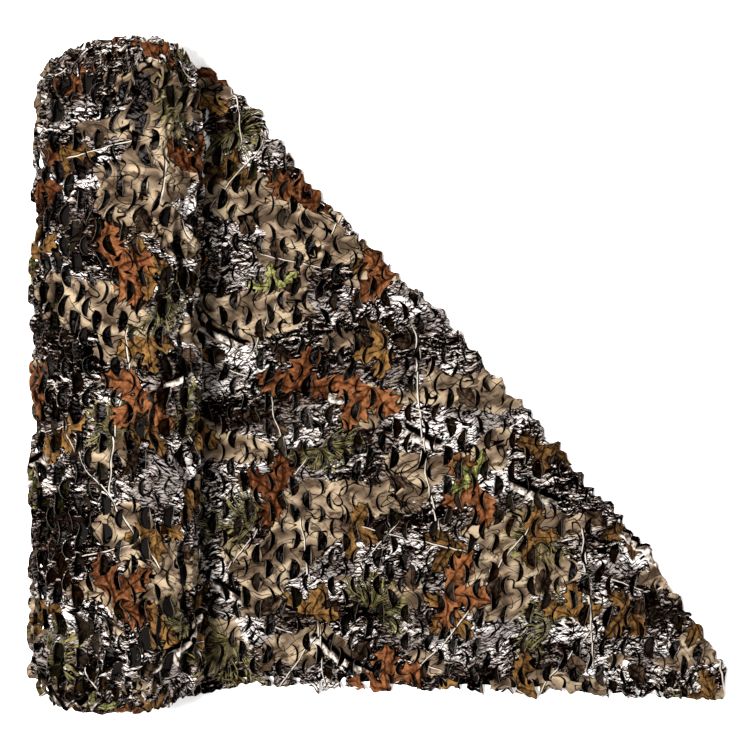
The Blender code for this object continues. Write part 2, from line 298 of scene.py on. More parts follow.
def curl(flat, onTongue, calm, rightward, creased=1.0, settings=tongueCurl):
    # how far each point leaves its flat place: along the cloth, and out from it
    u, v = flat[:, 0], flat[:, 1]
    gentle = np.minimum(calm, 1.0)
    along = np.zeros(len(u))
    out = settings["swell"] * calm * ripple(u, v, settings["swellSize"], 21)
    wander = settings["creaseWander"] * ripple(u, 0.0 * v, settings["creaseWanderSize"], 22)
    for crease in settings["creases"]:
        away = (v - crease - wander) / settings["creaseWidth"]
        out -= settings["creaseDepth"] * creased * gentle * np.exp(-away * away)
    for row, column in tonguesNear(u, v):
        p, q, reach = insideTongue(u, v, row, column)
        mine = {key: table[row, column] for key, table in tongues.items()}
        facing, depth, across = mine["facing"], mine["depth"], q / mine["half"]
        right = facing * rightward > 0
        under = mine["chance"] < np.where(right, settings["underShareRight"], settings["underShareLeft"])
        tip = np.where(right, settings["rightAngle"], settings["leftAngle"]) * calm
        tip = np.where(under, settings["underAngle"] * gentle, tip)
        tip = np.clip(tip * np.exp(settings["angleSpread"] * mine["spread"]), *settings["angleLimits"])
        tip = tip * (1.0 + settings["twist"] * mine["twist"] * across)
        bend = np.where(under, settings["underBend"], settings["upBend"])

        onIt = (reach <= 1.002) & (p >= 0.0) & ((reach < 0.93) | onTongue)
        share = np.clip(p / depth, 0.0, 1.0)
        rise, run = np.zeros(len(u)), np.zeros(len(u))
        steps = settings["bendSteps"]
        for step in range(steps):
            angle = tip * (share * (step + 0.5) / steps) ** bend
            rise += np.sin(angle) * share * depth / steps
            run += np.cos(angle) * share * depth / steps
        cupped = settings["cup"] * mine["cup"] * across ** 2 * share * calm
        along += np.where(onIt, facing * (run - share * depth), 0.0)
        out += np.where(onIt, rise + cupped, 0.0)

        beside = ~onIt & (p > 0.0) & (reach < settings["rimReach"])
        near = smoothStep(settings["rimReach"], 1.0, reach) * smoothStep(0.0, 0.5, p / depth)
        dip = np.where(under, settings["rimDip"], -settings["rimDip"]) * calm
        out += np.where(beside, dip * near, 0.0)
        along += np.where(beside, facing * settings["rimOpening"] * near * gentle, 0.0)
    return along, np.clip(out, *settings["room"])


def spread(lay, flat, along, out, side):
    # lays the curled cloth on a curved surface: lay gives that surface's points
    u, v = flat[:, 0] + along, flat[:, 1]
    step = 1.5 * millimetre
    normal = np.cross(lay(u + step, v) - lay(u - step, v), lay(u, v + step) - lay(u, v - step))
    normal *= side / np.linalg.norm(normal, axis=1)[:, None]
    return lay(u, v) + normal * out[:, None]


def clothObject(name, places, corners, flat, side, materials):
    # a closed cloth: the printed face, the duller reverse, and the cut edge between them
    mesh = bpy.data.meshes.new(name)
    mesh.vertices.add(len(places))
    mesh.vertices.foreach_set("co", places.astype(np.float32).ravel())
    if side < 0:
        corners = corners[:, ::-1]
    mesh.loops.add(corners.size)
    mesh.loops.foreach_set("vertex_index", corners.astype(np.int32).ravel())
    mesh.polygons.add(len(corners))
    mesh.polygons.foreach_set("loop_start", np.arange(0, corners.size, 3, dtype=np.int32))
    mesh.update(calc_edges=True)
    plan = mesh.uv_layers.new(name="clothPlan")
    plan.data.foreach_set("uv", flat[corners.ravel()].astype(np.float32).ravel())
    for material in materials:
        mesh.materials.append(material)
    mesh.shade_smooth()
    piece = bpy.data.objects.new(name, mesh)
    bpy.context.scene.collection.objects.link(piece)
    thicken = piece.modifiers.new("cloth", "SOLIDIFY")
    thicken.thickness = netCut["clothThickness"]
    thicken.offset = -1.0
    thicken.material_offset = 1
    thicken.material_offset_rim = 2
    bpy.ops.object.select_all(action="DESELECT")
    bpy.context.view_layer.objects.active = piece
    piece.select_set(True)
    bpy.ops.object.modifier_apply(modifier=thicken.name)
    piece.data.validate()
    print(name, "has", len(piece.data.polygons), "faces")
    return piece


# the printed cloth

printColours = {
    "barkDark": "#15110f", "barkBrown": "#5a493e", "barkGrey": "#97887c",
    "barkPale": "#d7ccc5", "barkWhite": "#fef9f6",
    "tanDark": "#7d6f60", "tan": "#ab9b89", "tanPale": "#cdbea8",
    "rustDark": "#5c3f2e", "rust": "#8e694e", "rustPale": "#b68b69",
    "ochreDark": "#4a3c2c", "ochre": "#8a7151", "ochrePale": "#b29469",
    "brownDark": "#2b231e", "brown": "#5d4f44", "brownPale": "#8a7969",
    "greenDark": "#4b4933", "green": "#939166", "greenPale": "#cbc99b",
    "branchDark": "#6f655c", "branch": "#c2b9af", "branchPale": "#f0eae3",
    "needleDark": "#1d1b13", "needle": "#6a6448", "needlePale": "#aca47d",
    "twig": "#ddd7ce", "outline": "#0d0b09",
    "reverse": "#62554a", "cutEdge": "#6b635b",
}
printLevel = 0.565  # the whole print's brightness
printDepth = 1.62  # over 1 the darks go deeper


def linear(hexColour):
    # from the usual web form of a colour to the linear values that the renderer takes
    parts = [int(hexColour[i:i + 2], 16) / 255.0 for i in (1, 3, 5)]
    return [p / 12.92 if p <= 0.04045 else ((p + 0.055) / 1.055) ** 2.4 for p in parts] + [1.0]


nodeModes = {
    "Math": "operation", "VectorMath": "operation", "MapRange": "interpolation_type", "Mix": "data_type",
    "Mapping": "vector_type", "TexNoise": "noise_dimensions", "TexVoronoi": "voronoi_dimensions",
    "VectorRotate": "rotation_type", "UVMap": "uv_map",
}


def addNode(tree, kind, *inputs, named=(), stops=()):
    # kind is a node and its mode, such as "Math.ADD"; an input is a source to link or a plain value, in the
    # order of the node's sockets or by name; stops are a colour ramp's; what comes back is the first output
    kind, _, mode = kind.partition(".")
    node = tree.nodes.new("ShaderNode" + kind)
    if mode:
        setattr(node, nodeModes[kind], mode)
    sockets = [socket for socket in node.inputs if socket.enabled]
    for socket, source in [*zip(sockets, inputs), *((node.inputs[name], named[name]) for name in named)]:
        if isinstance(source, bpy.types.NodeSocket):
            tree.links.new(source, socket)
        else:
            socket.default_value = source
    for _ in stops[2:]:
        node.color_ramp.elements.new(0.5)
    for number, (place, name) in enumerate(stops):
        node.color_ramp.elements[number].position = place
        node.color_ramp.elements[number].color = linear(printColours[name])
    return next((output for output in node.outputs if output.enabled), None)


def noise(add, plan, count, detail=1.0, shift=(0.0, 0.0), turn=0.0, roughness=0.5, distortion=0.0):
    # this many lumps to the metre, along and across the direction that turn gives
    scale = (1.0 / count[0], 1.0 / count[1], 1.0)
    where = add("Mapping.TEXTURE", plan, (*shift, 0.0), (0.0, 0.0, turn), scale)
    return add("TexNoise.2D", where, 1.0, detail, roughness, named={"Distortion": distortion})


def wanderingLines(add, plan, kinds):
    # thin lines along the places where each kind's noise passes a half, inside its width
    strongest = 0.0
    for kind in kinds:
        lumps = noise(add, plan, kind["count"], kind["detail"], kind["shift"], kind["turn"], kind["roughness"])
        off = add("Math.ABSOLUTE", add("Math.SUBTRACT", lumps, 0.5))
        line = add("MapRange.SMOOTHSTEP", off, kind["width"][1], kind["width"][0])
        strongest = add("Math.MAXIMUM", strongest, line)
    return strongest


def scattered(add, plan, spacing, shift, randomness):
    # one place to a cell: how far off it is, the angle once it is turned its own way, and numbers drawn for it
    shifted = add("VectorMath.ADD", plan, (*shift, 0.0))
    cells = add("TexVoronoi.2D", shifted, 1.0 / spacing, named={"Randomness": randomness}).node.outputs
    chance = add("SeparateColor", cells["Color"]).node.outputs
    turn = add("Math.MULTIPLY", chance[0], 2.0 * math.pi)
    offset = add("VectorMath.SUBTRACT", shifted, cells["Position"])
    local = add("VectorRotate.Z_AXIS", offset, named={"Angle": turn})
    parts = add("SeparateXYZ", local).node.outputs
    return add("VectorMath.LENGTH", local), add("Math.ARCTAN2", parts[1], parts[0]), chance


leafKinds = {
    "rust": {
        "spacing": 0.250, "reach": 0.108, "width": 0.043, "leaves": 5.0, "kept": 1.5, "lobes": 2.2,
        "lobeDepth": 0.55, "share": 0.43, "shift": (0.7, 0.3), "colours": ("rustDark", "rust", "rustPale"),
    },
    "ochre": {
        "spacing": 0.215, "reach": 0.084, "width": 0.029, "leaves": 5.0, "kept": 1.5, "lobes": 1.7,
        "lobeDepth": 0.50, "share": 0.58, "shift": (3.1, 7.7), "colours": ("ochreDark", "ochre", "ochrePale"),
    },
    "brown": {
        "spacing": 0.150, "reach": 0.066, "width": 0.022, "leaves": 4.0, "kept": 0.5, "lobes": 1.2,
        "lobeDepth": 0.30, "share": 0.50, "shift": (6.4, 2.2), "colours": ("brownDark", "brown", "brownPale"),
    },
    "green": {
        "spacing": 0.520, "reach": 0.075, "width": 0.022, "leaves": 6.0, "kept": 1.5, "lobes": 1.7,
        "lobeDepth": 0.60, "share": 0.55, "shift": (8.2, 5.1), "colours": ("greenDark", "green", "greenPale"),
    },
}
leafForm = {
    "randomness": 0.7,
    "lobeLean": 0.35,  # the lobes point forward
    "ragged": 0.24,
    "outline": (-0.22, -0.02, 0.9),  # the dark rim's start, end and depth
    "edge": 0.04,
    "spine": (0.09, 0.03, 0.30),  # its outer and inner width, and how much darker it is
    "vein": (0.20, 0.05, 0.20),
    "grain": 1.05,
    "across": 0.20,  # one half of a leaf is lighter
    "kindSpread": 0.24,
    "stops": (0.20, 0.50, 0.80),
}


def leafLayer(add, plan, under, grain, kind, form=leafForm):
    # fans of lobed leaves, with a dark outline, a spine and a vein to each lobe
    far, angle, chance = scattered(add, plan, kind["spacing"], kind["shift"], form["randomness"])
    sector = 2.0 * math.pi / kind["leaves"]
    which = add("Math.FLOOR", add("Math.ADD", add("Math.DIVIDE", angle, sector), 0.5))
    within = add("Math.SUBTRACT", angle, add("Math.MULTIPLY", which, sector))
    forward = add("Math.MULTIPLY", far, add("Math.COSINE", within))
    sideways = add("Math.DIVIDE", add("Math.MULTIPLY", far, add("Math.SINE", within)), kind["width"])
    along = add("Math.SUBTRACT", add("Math.DIVIDE", forward, 0.5 * kind["reach"]), 1.0)
    beside = add("Math.ABSOLUTE", sideways)

    leaning = add("Math.MULTIPLY_ADD", beside, -form["lobeLean"], along)
    swing = add("Math.ABSOLUTE", add("Math.SINE", add("Math.MULTIPLY", leaning, math.pi * kind["lobes"])))
    lobed = add("Math.MULTIPLY_ADD", swing, -kind["lobeDepth"], 1.0)
    oval = add("Math.SUBTRACT", 1.0, add("Math.MULTIPLY", along, along))
    inside = add("Math.SUBTRACT", add("Math.MULTIPLY", oval, lobed), beside)
    inside = add("Math.ADD", inside, add("Math.MULTIPLY_ADD", grain, form["ragged"], -0.5 * form["ragged"]))
    kept = add("Math.LESS_THAN", add("Math.ABSOLUTE", which), kind["kept"])
    chosen = add("Math.MULTIPLY", add("Math.LESS_THAN", chance[1], kind["share"]), kept)

    start, end, depth = form["outline"]
    rim = add("MapRange.SMOOTHSTEP", inside, start, end, 0.0, depth)
    leaf = add("Math.MULTIPLY", add("MapRange.SMOOTHSTEP", inside, 0.0, form["edge"]), chosen)
    tone = add("Math.MULTIPLY_ADD", sideways, form["across"], add("Math.MULTIPLY", grain, form["grain"]))
    tone = add("Math.ADD", tone, add("Math.MULTIPLY_ADD", chance[2], form["kindSpread"], -0.14))
    outer, inner, darker = form["spine"]
    spine = add("MapRange.SMOOTHSTEP", beside, outer, inner, 0.0, darker)
    outer, inner, darker = form["vein"]
    vein = add("Math.MULTIPLY", add("MapRange.SMOOTHSTEP", swing, outer, inner), darker)
    tone = add("Math.SUBTRACT", tone, add("Math.MAXIMUM", spine, vein))
    colour = add("ValToRGB", tone, stops=list(zip(form["stops"], kind["colours"])))
    under = add("Mix.RGBA", add("Math.MULTIPLY", rim, chosen), under, linear(printColours["outline"]))
    return add("Mix.RGBA", leaf, under, colour)


needleKind = {
    "spacing": 0.250, "reach": 0.102, "share": 0.48, "shift": (5.3, 1.9), "randomness": 0.8,
    "toTheRadian": 17.0,  # needles across the spray, and breaks along them
    "toTheMetre": 20.0,
    "fan": (2.1, 1.5),  # the spray opens to this angle each way
    "gloom": 0.65,  # how dark it is between the needles
}


def needleLayer(add, plan, under, grain, kind=needleKind):
    # sprays of fine needles that fan out from one place, with dark between them
    far, angle, chance = scattered(add, plan, kind["spacing"], kind["shift"], kind["randomness"])
    turned = add("Math.MULTIPLY_ADD", angle, kind["toTheRadian"], add("Math.MULTIPLY", chance[2], 50.0))
    place = add("CombineXYZ", turned, add("Math.MULTIPLY", far, kind["toTheMetre"]))
    streaks = add("TexNoise.2D", place, 1.0, 1.0, 0.6)
    end = add("Math.MULTIPLY_ADD", streaks, 1.4 * kind["reach"], 0.05 * kind["reach"])
    fan = add("MapRange.SMOOTHSTEP", add("Math.ABSOLUTE", angle), *kind["fan"])
    chosen = add("Math.MULTIPLY", add("Math.LESS_THAN", chance[1], kind["share"]), fan)
    within = add("MapRange.SMOOTHSTEP", add("Math.SUBTRACT", end, far), 0.0, 0.010)
    within = add("Math.MULTIPLY", within, chosen)
    mask = add("Math.MULTIPLY", within, add("MapRange.SMOOTHSTEP", streaks, 0.50, 0.55))
    tone = add("Math.MULTIPLY_ADD", streaks, 1.6, add("Math.MULTIPLY_ADD", grain, 0.8, -0.84))
    colour = add("ValToRGB", tone, stops=[(0.22, "needleDark"), (0.42, "needle"), (0.72, "needlePale")])
    gloom = add("Math.MULTIPLY", within, kind["gloom"])
    under = add("Mix.RGBA", gloom, under, linear(printColours["needleDark"]))
    return add("Mix.RGBA", mask, under, colour)


branchColours = ("branchDark", "branch", "branchPale")
twigColours = ("branch", "twig", "twig")
twigs = [
    {"spacing": 0.56, "width": 0.0095, "turn": 1.10, "shift": 0.13, "bend": 0.05, "hide": 0.57, "rough": 2.2,
     "colours": branchColours},
    {"spacing": 0.33, "width": 0.0020, "turn": 0.18, "shift": 0.40, "bend": 0.04, "hide": 0.55, "rough": 0.5,
     "colours": twigColours},
    {"spacing": 0.27, "width": 0.0016, "turn": -0.60, "shift": 0.71, "bend": 0.05, "hide": 0.55, "rough": 0.5,
     "colours": twigColours},
    {"spacing": 0.30, "width": 0.0014, "turn": 1.35, "shift": 0.22, "bend": 0.05, "hide": 0.56, "rough": 0.5,
     "colours": twigColours},
]


def twigLayer(add, plan, under, wander, grain, kind):
    # straight twigs that come and go, each with a dark line along its lower side
    direction = (math.cos(kind["turn"]) / kind["spacing"], math.sin(kind["turn"]) / kind["spacing"], 0.0)
    across = add("VectorMath.DOT_PRODUCT", plan, direction)
    bent = add("Math.ADD", add("Math.MULTIPLY_ADD", wander, kind["bend"], across), kind["shift"])
    place = add("Math.SUBTRACT", add("Math.FRACT", bent), 0.5)
    lumps = noise(add, plan, (4.0, 4.0), 0.0, (kind["turn"] * 3.0, kind["shift"] * 9.0))
    here = add("MapRange.SMOOTHSTEP", lumps, kind["hide"] - 0.015, kind["hide"] + 0.015)
    wide = kind["width"] / kind["spacing"]
    line = add("MapRange.SMOOTHSTEP", add("Math.ABSOLUTE", place), wide, wide * 0.7)
    aside = add("Math.ABSOLUTE", add("Math.SUBTRACT", place, wide * 0.9))
    shade = add("MapRange.SMOOTHSTEP", aside, wide * 1.7, wide * 1.0)
    tone = add("Math.MULTIPLY_ADD", grain, kind["rough"], 0.5 - 0.5 * kind["rough"])
    tone = add("Math.MULTIPLY_ADD", place, -0.35 / wide, tone)
    colour = add("ValToRGB", tone, stops=list(zip((0.10, 0.50, 0.85), kind["colours"])))
    under = add("Mix.RGBA", add("Math.MULTIPLY", shade, here), under, linear(printColours["outline"]))
    return add("Mix.RGBA", add("Math.MULTIPLY", line, here), under, colour)


barkPrint = {
    "shakeCount": 16.0,  # to the metre, as every count here: the motifs' edges wander
    "shake": 0.022,
    "grainCount": (70.0, 70.0),
    "toneCount": (33.0, 138.0),  # the flakes lie along the cloth
    "gloomCount": (3.0, 10.0),
    "gloom": 0.50,
    "stops": [(0.425, "barkDark"), (0.458, "barkBrown"), (0.488, "barkGrey"), (0.523, "barkPale"),
              (0.580, "barkWhite")],
    "warmCount": (6.0, 11.0),
    "cracks": [
        {"count": (11.0, 60.0), "detail": 2.0, "shift": (4.0, 1.0), "turn": 0.50, "roughness": 0.5,
         "width": (0.016, 0.040)},
        {"count": (12.0, 52.0), "detail": 2.0, "shift": (2.0, 8.0), "turn": -0.40, "roughness": 0.5,
         "width": (0.014, 0.036)},
        {"count": (24.0, 105.0), "detail": 2.0, "shift": (5.0, 4.0), "turn": 0.22, "roughness": 0.6,
         "width": (0.012, 0.042)},
    ],
}
openPrint = {
    "patchCount": (3.6, 6.5),  # the pale open parts between the bark
    "patchEdge": (0.572, 0.584),
    "toneCount": (12.0, 24.0),
    "stops": [(0.34, "tanDark"), (0.50, "tan"), (0.64, "tanPale")],
    "shadeCount": (26.0, 60.0),
    "lines": [
        {"count": (8.0, 22.0), "detail": 1.0, "shift": (9.0, 4.0), "turn": 0.45, "roughness": 0.5,
         "width": (0.006, 0.016)},
        {"count": (9.0, 26.0), "detail": 1.0, "shift": (1.0, 7.0), "turn": -0.70, "roughness": 0.5,
         "width": (0.006, 0.016)},
    ],
}


def woodlandPrint(add, bark=barkPrint, bare=openPrint):
    # a woodland print of the usual kind: bark, leaves, needles and twigs, in real sizes
    flat = add("UVMap.clothPlan")
    shake = add("TexNoise.2D", flat, bark["shakeCount"], 1.0).node.outputs["Color"]
    plan = add("VectorMath.MULTIPLY_ADD", shake, (bark["shake"], bark["shake"], 0.0), flat)
    grain = noise(add, flat, bark["grainCount"], 2.0, roughness=0.6)
    wander = noise(add, flat, (5.0, 5.0), 1.0, (8.0, 3.0))

    tone = noise(add, plan, bark["toneCount"], 4.0, (1.0, 6.0), 0.10, 0.80, 0.5)
    gloom = noise(add, plan, bark["gloomCount"], 2.0, (7.0, 7.0), 0.10)
    tone = add("Math.ADD", tone, add("Math.MULTIPLY_ADD", gloom, -bark["gloom"], 0.245))
    colour = add("ValToRGB", tone, stops=bark["stops"])
    warm = noise(add, flat, bark["warmCount"], 1.0, (6.0, 1.5))
    warm = add("MapRange.SMOOTHSTEP", warm, 0.46, 0.60, 0.0, 0.55)
    colour = add("Mix.RGBA", warm, colour, linear(printColours["barkBrown"]))
    cracks = wanderingLines(add, plan, bark["cracks"])
    colour = add("Mix.RGBA", cracks, colour, linear(printColours["barkDark"]))

    patch = noise(add, plan, bare["patchCount"], 1.0, (2.5, 9.0))
    patch = add("Math.MULTIPLY_ADD", grain, 0.06, patch)
    tan = noise(add, plan, bare["toneCount"], 2.0, (3.0, 3.0), 0.25)
    tan = add("ValToRGB", tan, stops=bare["stops"])
    lines = wanderingLines(add, plan, bare["lines"])
    tan = add("Mix.RGBA", lines, tan, linear(printColours["barkDark"]))
    shade = noise(add, plan, bare["shadeCount"], 3.0, (5.0, 2.0), 0.30, 0.65)
    shade = add("MapRange.SMOOTHSTEP", shade, 0.54, 0.66, 0.0, 0.75)
    tan = add("Mix.RGBA", shade, tan, linear(printColours["brown"]))
    colour = add("Mix.RGBA", add("MapRange.SMOOTHSTEP", patch, *bare["patchEdge"]), colour, tan)

    colour = leafLayer(add, plan, colour, grain, leafKinds["brown"])
    colour = needleLayer(add, plan, colour, grain)
    colour = leafLayer(add, plan, colour, grain, leafKinds["ochre"])
    for kind in twigs:
        colour = twigLayer(add, flat, colour, wander, grain, kind)
    colour = leafLayer(add, plan, colour, grain, leafKinds["rust"])
    colour = leafLayer(add, plan, colour, grain, leafKinds["green"])
    return flat, colour


def printedCloth(add, finish):
    # the colour and the height of the printed cloth: a light cloth crinkles finely all over
    plan, colour = woodlandPrint(add)
    if finish["tintShare"]:
        colour = add("Mix.RGBA", finish["tintShare"], colour, linear(printColours[finish["tint"]]))
    deeper = add("Gamma", colour, printDepth)
    colour = add("HueSaturation", named={"Value": finish["brightness"] * printLevel, "Color": deeper})
    return colour, noise(add, plan, (110.0, 110.0), 1.0, (5.0, 5.0))


def bareCloth(add, finish):
    # one dull colour that differs a little from thread to thread, drawn coarser than they are so that it shows
    thread = noise(add, add("UVMap.clothPlan"), (900.0, 900.0))
    low, rise = finish["brightness"] * (1.0 - finish["uneven"]), finish["brightness"] * 2.0 * finish["uneven"]
    level = add("Math.MULTIPLY_ADD", thread, rise, low)
    return add("HueSaturation", named={"Value": level, "Color": linear(printColours[finish["colour"]])}), thread


clothFinishes = {
    # woven polyester, printed on one side: matt, with sharp colours and no gloss on its crinkles
    "printedPolyester": {
        "pattern": printedCloth, "tint": "reverse", "tintShare": 0.0, "brightness": 1.0,
        "roughness": 0.75, "specular": 0.0, "bumpDepth": 0.002,
    },
    # its reverse: the print comes through duller and browner
    "polyesterReverse": {
        "pattern": printedCloth, "tint": "reverse", "tintShare": 0.16, "brightness": 0.90,
        "roughness": 0.75, "specular": 0.0, "bumpDepth": 0.002,
    },
    # woven polyester where it is cut: a thin drab line around each tongue, as the print doesn't reach it
    "cutPolyester": {
        "pattern": bareCloth, "colour": "cutEdge", "brightness": printLevel, "uneven": 0.30,
        "roughness": 0.85, "specular": 0.10, "bumpDepth": 0.0005,
    },
    # the printed cloth under other cloth, with painted shade: its print darkened and browned as if in the shade
    # of the cloth over it, so that it is only just seen
    "paintedShadePolyester": {
        "pattern": printedCloth, "tint": "brownDark", "tintShare": 0.50, "brightness": 0.22,
        "roughness": 0.75, "specular": 0.0, "bumpDepth": 0.002,
    },
    # painted shade: the cloth deep in the roll, and the cut edges there, painted nearly black as if in deep
    # shade
    "paintedDeepShadePolyester": {
        "pattern": bareCloth, "colour": "brownDark", "brightness": 0.12, "uneven": 0.30,
        "roughness": 0.85, "specular": 0.10, "bumpDepth": 0.0005,
    },
}


def makeMaterial(name, finish):
    material = bpy.data.materials.new(name)
    material.use_nodes = True
    material.node_tree.nodes.clear()
    add = functools.partial(addNode, material.node_tree)
    colour, height = finish["pattern"](add, finish)
    bump = add("Bump", 0.30, finish["bumpDepth"], named={"Height": height})
    shader = add("BsdfPrincipled", colour, named={
        "Roughness": finish["roughness"], "Specular IOR Level": finish["specular"], "Normal": bump,
    })
    add("OutputMaterial", shader)
    return material


polyester = {name: makeMaterial(name, finish) for name, finish in clothFinishes.items()}
openCloth = [polyester[name] for name in ("printedPolyester", "polyesterReverse", "cutPolyester")]
# the hidden layers' materials are painted shade: print and cut edges darkened as if under the cloth over them
paintedShadeCloth = [polyester[name] for name in ("paintedShadePolyester", "paintedShadePolyester", "paintedDeepShadePolyester")]
print("materials made")


# the roll

rollShape = {
    "halfWidth": 0.197,
    "halfHeight": 0.187,
    "sink": 0.005,  # how far its own weight flattens it underneath
    "straight": 0.635,  # half its length, without the rounded ends
    "shoulderLength": 0.112,
    "shoulderDrop": 0.078,
    "bluntStart": 0.046,  # the lower end stays straight for this much longer
    "lean": 0.007,
    "endTilt": 0.120,  # the upper end is pushed askew
    "endTiltStart": 0.55,
    "endRim": (0.716, 0.742),  # the edges of the turns make a dome: its rim at the upper and lower end
    "endDome": (0.083, 0.055),
    "inset": 0.004,  # the outer turn's cloth lies this far inside the roll's outline, its tongues outside
    "insetZone": (0.3, 1.0),  # from here on, in radians from underneath
    "turnThickness": 0.007,
    "innerRoom": 0.007,  # and the turn under it lies this much lower again
    "innerZone": (0.1, 0.6),
    "floorZone": (0.75, 1.35),  # radians from underneath to where the cloth is free of the floor
    "lump": 0.005,
    "lumpSize": 0.30,
    "sway": 0.003,
    "swaySize": 0.20,
    "waver": 0.014,  # the rows of tongues don't run true
    "waverSize": 0.20,
    "clothHalfWidth": 0.765,
    "edgeZone": (0.45, 0.765),
    "edgeWander": 0.010,
    "edgeWanderSizes": (0.42, 0.07),
    "gather": 0.004,  # the cloth is rucked up towards the roll's ends
    "gatherSize": 0.050,
    "gatherReach": 0.24,
    "gatherEnd": 0.05,
}


def sectionPlace(share, turn, shape=rollShape):
    # share of the radius, and the turn from underneath towards -X
    x = -shape["halfWidth"] * share * np.sin(turn)
    z = shape["halfHeight"] * (1.0 - share * np.cos(turn)) - shape["sink"]
    return x, np.maximum(z, 0.0)


def windingShare(turn, shape=rollShape):
    inset = shape["inset"] * smoothStep(*shape["insetZone"], turn)
    inset = inset + shape["turnThickness"] * turn / (2.0 * math.pi)
    return 1.0 - inset / shape["halfWidth"]


def makeWindingTable():
    # the length of cloth from the roll's underside to each place of the two outer turns
    turn = np.linspace(-0.4, 4.4 * math.pi, 8000)
    x, z = sectionPlace(windingShare(turn), turn)
    length = np.concatenate([[0.0], np.cumsum(np.hypot(np.diff(x), np.diff(z)))])
    return turn, length - np.interp(0.0, turn, length)


windingTurn, windingLength = makeWindingTable()
shoulderTurn = np.linspace(0.0, math.pi / 2.0, 60)
shoulderArc = np.concatenate([[0.0], np.cumsum(np.hypot(
    np.diff(rollShape["shoulderLength"] * np.sin(shoulderTurn)),
    np.diff(rollShape["shoulderDrop"] * np.cos(shoulderTurn))))])


def offFloor(around, start, end):
    # 0 near the roll's underside on both sides, 1 where the cloth is free of it
    far = 2.0 * math.pi - around
    return smoothStep(*start, around) * smoothStep(*end, far)


def layOnRoll(u, v, shape=rollShape):
    # u falls from 0 underneath as the cloth goes round by the left side and the top
    u = u + shape["waver"] * ripple(0.0 * u, v, shape["waverSize"], 38)
    turn = np.interp(-u, windingLength, windingTurn)
    free = offFloor(np.mod(turn, 2.0 * math.pi), shape["floorZone"], shape["floorZone"])
    side = np.sign(v)
    long, short = [ripple(u, side, size, seed) for size, seed in zip(shape["edgeWanderSizes"], (31, 34))]
    v = v + smoothStep(*shape["edgeZone"], abs(v)) * shape["edgeWander"] * (long + 0.5 * short)
    straight = shape["straight"] + shape["bluntStart"] * (v < 0.0)
    bend = np.interp(np.maximum(0.0, abs(v) - straight), shoulderArc, shoulderTurn)
    y = np.sign(v) * (np.minimum(abs(v), straight) + shape["shoulderLength"] * np.sin(bend))
    half = shape["clothHalfWidth"]
    gathered = shape["gather"] * smoothStep(half - shape["gatherReach"], half - shape["gatherEnd"], abs(v))
    lump = shape["lump"] * ripple(u, v, shape["lumpSize"], 32)
    lump = (lump + gathered * ripple(u, v, shape["gatherSize"], 36)) * free
    y = y + gathered * ripple(u, v, shape["gatherSize"], 37)
    inner = smoothStep(*[2.0 * math.pi + place for place in shape["innerZone"]], turn)
    lower = shape["shoulderDrop"] * (1.0 - np.cos(bend)) + shape["innerRoom"] * inner
    x, z = sectionPlace(windingShare(turn) + (lump - lower) / shape["halfWidth"], turn)
    y = y + shape["endTilt"] * x * smoothStep(shape["endTiltStart"], half, v)
    x = x + shape["lean"] * v + shape["sway"] * ripple(u, v, shape["swaySize"], 33) * free
    return np.stack([x, y, z], axis=1)


wrapCurl = {
    "onFloor": 0.10,  # what is left of the curl under the roll
    "floorZones": ((0.55, 1.10), (0.40, 0.95)),  # on the roll's left, and on its right
    "onSides": 0.40,  # more at the sides and the ends
    "atEnds": 0.75,
    "endStart": 0.10,
    "most": 1.8,
    "atEdge": 0.40,  # and less in the cut edge itself
    "edgeZone": (0.004, 0.030),
    "creased": 0.6,
    "lowest": 0.0008,
}
wrapHalves = {
    "net_wrap_left": {"columns": (0, -10), "arcSteps": 12, "curl": 1.25, "materials": openCloth},
    "net_wrap_right": {"columns": (-10, -21), "arcSteps": 12, "curl": 1.25, "materials": openCloth},
    # the next turn of the same cloth, seen through the openings, with painted shade in its materials
    "net_under_left": {"columns": (-21, -30), "arcSteps": 8, "curl": 0.60, "materials": paintedShadeCloth},
    "net_under_right": {"columns": (-30, -40), "arcSteps": 8, "curl": 0.60, "materials": paintedShadeCloth},
}


def makeWrap(name, settings, curling=wrapCurl):
    # the halves meet where no tongue crosses, between the backs of two tongues
    near, far = [column * netCut["alongPitch"] + 0.5 * netCut["backToBack"] for column in settings["columns"]]
    half = rollShape["clothHalfWidth"]
    box = (far, near, -half, half)
    flat, corners, onTongue = flatNet(box, boxTrims(*box), settings["arcSteps"])
    turn = np.mod(np.interp(-flat[:, 0], windingLength, windingTurn), 2.0 * math.pi)
    calm = curling["onFloor"] + (1.0 - curling["onFloor"]) * offFloor(turn, *curling["floorZones"])
    ends = smoothStep(half - rollShape["gatherReach"], half - curling["endStart"], abs(flat[:, 1]))
    calm *= 1.0 + curling["onSides"] * abs(np.sin(turn)) + curling["atEnds"] * ends
    calm = np.minimum(calm, curling["most"])
    calm *= eased(half - abs(flat[:, 1]), curling["atEdge"], curling["edgeZone"])
    along, out = curl(flat, onTongue, settings["curl"] * calm, -1.0, curling["creased"])
    places = spread(layOnRoll, flat, along, out, -1.0)
    places[:, 2] = np.maximum(places[:, 2], curling["lowest"])
    piece = clothObject(name, places, corners, flat, -1.0, settings["materials"])
    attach(piece, "root")
    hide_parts("net_roll")


coreShape = {
    "inset": 0.027, "halfLength": 0.690, "around": 96, "alongSteps": 70, "endRings": (0.02, 0.4, 0.75),
    "lump": 0.003, "lumpSize": 0.09, "lowest": 0.006,
}


